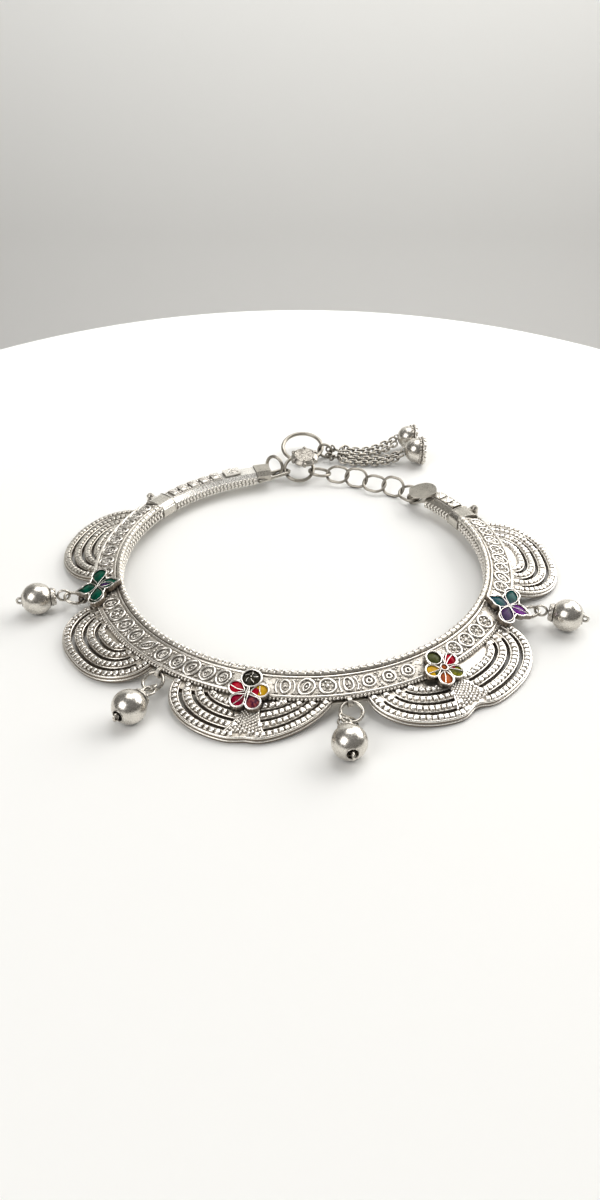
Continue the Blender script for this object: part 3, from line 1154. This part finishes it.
STRANDS = {
    "tassel_chain_1": [(10.7, 58.2, 1.9), (13.2, 58.0, 1.4), (16.2, 58.2, 1.2), (19.6, 59.5, 1.4), (22.4, 60.9, 2.0), (24.5, 61.7, 2.7)],
    "tassel_chain_2": [(10.9, 56.4, 1.4), (13.4, 56.2, 1.0), (16.6, 56.3, 0.95), (20.0, 57.3, 1.1), (22.8, 58.7, 1.7), (24.6, 59.9, 2.4)],
    "tassel_chain_3": [(10.7, 54.6, 1.5), (13.4, 53.9, 1.0), (17.0, 53.6, 0.95), (20.6, 53.7, 1.1), (23.6, 54.0, 1.9), (25.8, 54.2, 2.8)],
    "tassel_chain_4": [(9.9, 52.8, 1.2), (12.4, 51.9, 0.95), (15.8, 51.6, 0.95), (19.6, 51.5, 1.0), (23.2, 51.9, 1.7), (25.8, 52.4, 2.6)],
}
for name, pts in STRANDS.items():
    path = smooth_line(pts, 120)
    path[:, 2] = np.maximum(path[:, 2], 0.95)
    c, tan = along(path, 1.28)
    bits = []
    for i in range(len(c)):
        t = tan[i]
        s = unit(np.cross(t, (0, 0, 1)))
        u = np.cross(s, t)
        R0 = np.stack([t, s, u], 1)
        place = Place(R0 @ rx(38 if i % 2 else -38) @ rz(rng.uniform(-7, 7)), c[i])
        bits += oval(place, 2.45, 1.86, 0.27, 28, 7)
    # the small ring that takes the strand's first link
    q = np.array(pts[0]) * 0.42 + np.array([9.3, 55.3, 1.75]) * 0.58
    d = unit(np.array(pts[0]) - np.array([8.4, 55.3, 1.75]))
    s = unit(np.cross(d, (0, 0, 1)))
    bits += oval(Place(np.stack([d, np.cross(d, s), s], 1), np.array(pts[0]) - d * 0.55), 2.5, 1.5, 0.2, 28, 7)
    make(name + "_links", bits, chain_silver, [name])

for name, c, tz, r in (("tassel_bell_back", (28.0, 60.9, 3.6), 4, 3.0), ("tassel_bell_front", (29.5, 53.2, 3.8), 3, 3.2)):
    pt = move(*c) @ turn([0, 0, tz]) @ turn([0, 93, 0])
    outer = np.vstack([arc_points(r, -90, 0, 30), [(r, 1.4)]])
    inner = np.vstack([[(r - 0.5, 1.4)], arc_points(r - 0.5, 0, -90, 24)])
    outer[0, 0] = inner[-1, 0] = 0.01
    bits = lathe(np.vstack([outer, inner]), pt, 64)
    bits += torus(pt @ move(0, 0, 1.5), r - 0.15, 0.42, 56, 10)
    a = np.arange(13) * 2 * PI / 13
    q = np.stack([(r - 0.1) * np.cos(a), (r - 0.1) * np.sin(a), np.full(13, 1.55)], -1)
    bits.append(beads(pt(q), np.full((13, 3), 0.6), level=2))
    a = np.arange(26) * 2 * PI / 26
    q = np.stack([(r + 0.02) * np.cos(a), (r + 0.02) * np.sin(a), np.full(26, 0.55)], -1)
    bits.append(beads(pt(q), np.full((26, 3), 0.26), level=1))
    bits += torus(pt @ move(0, 0, -r - 0.25) @ turn([90, 0, 0]), 0.6, 0.2, 24, 8)
    make(name + "_body", bits, polished, [name])

# ------------------------------------------------------------------ stage

def simple(name, colour, rough):
    m = bpy.data.materials.new(name)
    m.use_nodes = True
    b = m.node_tree.nodes["Principled BSDF"]
    b.inputs["Base Color"].default_value = (*colour, 1)
    b.inputs["Roughness"].default_value = rough
    b.inputs["Specular IOR Level"].default_value = 0.25
    return m


def stage_mesh(name, verts, faces, mat):
    me = bpy.data.meshes.new(name)
    me.from_pydata([tuple((np.array(v, float) - MIDDLE) / 1000) for v in verts], [], faces)
    me.materials.append(mat)
    o = bpy.data.objects.new(name, me)
    bpy.context.scene.collection.objects.link(o)
    o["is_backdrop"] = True
    return o


n = 160
a = np.linspace(0, 2 * PI, n, endpoint=False)
rim = np.stack([-0.5 + 171 * np.cos(a), -40 + 199 * np.sin(a)], -1)
verts = [(x, y, -0.02) for x, y in rim] + [(x * 1.004, y * 1.004, -1.0) for x, y in rim] + [(x * 1.004, y * 1.004, -9.0) for x, y in rim]
faces = [list(range(n))]
for i in range(n):
    j = (i + 1) % n
    faces += [[i, i + n, j + n, j], [i + n, i + 2 * n, j + 2 * n, j + n]]
table = stage_mesh("table_top", verts, faces, simple("table_white", (0.90, 0.90, 0.885), 0.6))
k = 24
verts, faces = [], []
for i in range(k + 1):
    q = i / k
    ang = q * PI / 2
    if q < 1:
        y, z = 520 + 260 * math.sin(ang), -420 + 260 * (1 - math.cos(ang))
    else:
        y, z = 780, 900
    verts += [(-1600, y, z), (1600, y, z)]
verts = [(-1600, -900, -420), (1600, -900, -420)] + verts
faces = [[2 * i, 2 * i + 1, 2 * i + 3, 2 * i + 2] for i in range(len(verts) // 2 - 1)]
wall = simple("backdrop_grey", (0.74, 0.74, 0.745), 0.9)
wn_, wl_ = wall.node_tree.nodes, wall.node_tree.links
wc = wn_.new("ShaderNodeTexCoord")
ws = wn_.new("ShaderNodeSeparateXYZ")
wl_.new(wc.outputs["Object"], ws.inputs[0])
wm = wn_.new("ShaderNodeMapRange")
wm.inputs["From Min"].default_value = -0.27
wm.inputs["From Max"].default_value = 0.02
wl_.new(ws.outputs["Z"], wm.inputs["Value"])
wx = wn_.new("ShaderNodeMix")
wx.data_type = "RGBA"
wx.inputs["A"].default_value = (0.68, 0.675, 0.66, 1)
wx.inputs["B"].default_value = (0.82, 0.82, 0.80, 1)
wl_.new(wm.outputs["Result"], wx.inputs["Factor"])
wl_.new(wx.outputs["Result"], wn_["Principled BSDF"].inputs["Base Color"])
backdrop = stage_mesh("backdrop", verts, faces, wall)
for p_ in backdrop.data.polygons:
    p_.use_smooth = True

# ------------------------------------------------------------------ light

def metres(p):
    return Vector(tuple((np.asarray(p, float) - MIDDLE) / 1000))


def area(name, where, to, size, power, colour=(1, 1, 1), size_y=None):
    d = bpy.data.lights.new(name, "AREA")
    d.energy = power
    d.color = colour
    d.size = size / 1000
    if size_y:
        d.shape = "RECTANGLE"
        d.size_y = size_y / 1000
    o = bpy.data.objects.new(name, d)
    o.location = metres(where)
    o.rotation_mode = "QUATERNION"
    o.rotation_quaternion = (metres(to) - metres(where)).to_track_quat("-Z", "Y")
    bpy.context.scene.collection.objects.link(o)
    return o


area("key", (540, 380, 400), (0, 0, 0), 760, 5.0, (1.0, 0.985, 0.955), 520)
area("top", (60, 240, 640), (0, 0, 0), 440, 1.8, (1.0, 0.99, 0.975))
area("fill", (-400, -380, 430), (0, -60, 0), 440, 1.9, (1.0, 0.99, 0.98))
area("back", (-60, 380, 420), (0, 780, 60), 500, 1.75)

world = bpy.data.worlds.new("studio")
bpy.context.scene.world = world
world.use_nodes = True
wn, wl = world.node_tree.nodes, world.node_tree.links
bg = wn["Background"]
wtc = wn.new("ShaderNodeTexCoord")
wsep = wn.new("ShaderNodeSeparateXYZ")
wramp = wn.new("ShaderNodeValToRGB")
wl.new(wtc.outputs["Generated"], wsep.inputs[0])
wmap = wn.new("ShaderNodeMapRange")
wmap.inputs["From Min"].default_value = -0.3
wmap.inputs["From Max"].default_value = 1.0
wl.new(wsep.outputs["Z"], wmap.inputs["Value"])
wl.new(wmap.outputs["Result"], wramp.inputs["Fac"])
cr = wramp.color_ramp
cr.elements[0].position, cr.elements[0].color = 0.0, (0.75, 0.74, 0.72, 1)
cr.elements[1].position, cr.elements[1].color = 1.0, (0.40, 0.395, 0.385, 1)
e = cr.elements.new(0.26)
e.color = (0.20, 0.19, 0.175, 1)
e = cr.elements.new(0.5)
e.color = (0.30, 0.29, 0.275, 1)
wl.new(wramp.outputs["Color"], bg.inputs["Color"])
bg.inputs["Strength"].default_value = 0.6

# ------------------------------------------------------------------ camera

cam = bpy.data.cameras.new("camera")
cam.sensor_width = 36
cam.lens = 36 * 1157.77 / 1200
cam.clip_start, cam.clip_end = 0.005, 20
co = bpy.data.objects.new("camera", cam)
eye = metres((-0.7287, -213.46, 146.68))
target = metres((-0.7287, -8.2327, 0))
co.location = eye
co.rotation_mode = "QUATERNION"
co.rotation_quaternion = (target - eye).to_track_quat("-Z", "Y")
bpy.context.scene.collection.objects.link(co)
bpy.context.scene.camera = co
bpy.context.scene.view_settings.view_transform = "Standard"
bpy.context.scene.view_settings.look = "None"

lo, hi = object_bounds()
